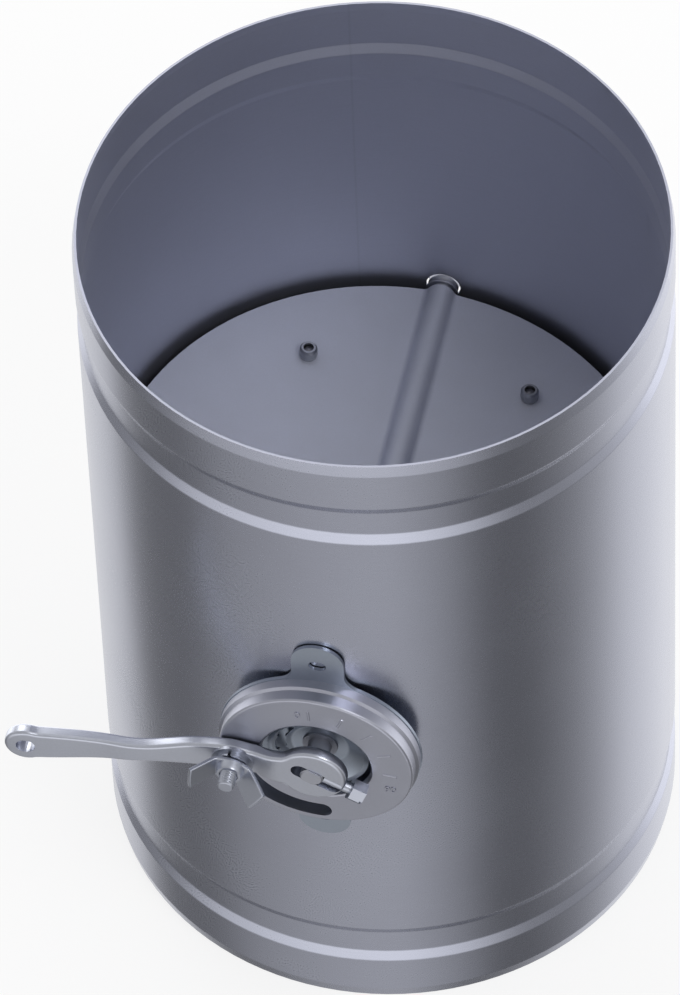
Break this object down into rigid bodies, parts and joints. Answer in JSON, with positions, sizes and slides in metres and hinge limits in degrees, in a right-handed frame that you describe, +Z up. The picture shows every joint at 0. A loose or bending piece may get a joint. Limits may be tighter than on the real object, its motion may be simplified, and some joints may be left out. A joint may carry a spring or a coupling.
{
  "type": "round duct volume control damper",
  "caption": "Galvanised round duct damper with swaged spigot ends, a two-sheet disc blade on a cross shaft and a locking hand quadrant with lever and wing nut.",
  "frame": {"origin": "middle of the casing's lower rim, on its axis", "axes": "+Z up the casing's axis, the blade's shaft along Y, the hand quadrant facing -Y and its lever pointing to -X when the blade is shut"},
  "size_m": [0.2038, 0.2344, 0.3],
  "materials": {
    "galvanised_sheet": "hot-dip galvanised sheet, matte bluish grey with a faint vertical grain",
    "zinc_plate": "bright zinc plating, bluish, satin",
    "bearing_steel": "zinc-plated steel, satin",
    "rivet_steel": "zinc-plated rivet, satin",
    "mandrel_steel": "dull steel",
    "shaft_steel": "zinc-plated round bar, satin",
    "lever_steel": "bright zinc plating with rounded edges",
    "fastener_steel": "bright zinc-plated fastener",
    "wing_nut_steel": "bright zinc-plated pressed steel"
  },
  "bodies": {
    "casing": {"casing_tube": "galvanised_sheet", "front_bearing_bush": "bearing_steel", "rear_bearing_bush": "bearing_steel", "regulator_base_plate": "zinc_plate", "dial_cover": "zinc_plate", "hub_cup": "zinc_plate", "plate_rivets": "rivet_steel"},
    "blade": {"blade_upper_disc": "galvanised_sheet", "blade_lower_disc": "galvanised_sheet", "blade_rivets": "rivet_steel", "blade_rivet_mandrels": "mandrel_steel", "blade_shaft": "shaft_steel", "front_thrust_washer": "bearing_steel", "rear_thrust_washer": "bearing_steel", "rear_retaining_ring": "shaft_steel", "lever": "lever_steel", "set_screw": "fastener_steel", "lock_bolt": "fastener_steel"},
    "washers": {"plain_washer": "fastener_steel", "spring_washer": "fastener_steel"},
    "wing_nut": {"wing_nut": "wing_nut_steel"}
  },
  "joints": [
    {"name": "blade_turn", "type": "hinge", "parent": "casing", "child": "blade", "pos_m": [0, 0, 0.15], "axis": [0, -1, 0], "range_deg": [0, 90]},
    {"name": "nut_travel", "type": "slide", "parent": "blade", "child": "washers", "axis": [0, -1, 0], "range_m": [0, 0.0015]},
    {"name": "nut_turn", "type": "hinge", "parent": "washers", "child": "wing_nut", "pos_m": [-0.0274, 0, 0.15], "axis": [0, -1, 0], "range_deg": [0, 540]}
  ],
  "couplings": [
    {"joint": "nut_turn", "follows": "nut_travel", "rad_per_m": 6283.2}
  ]
}
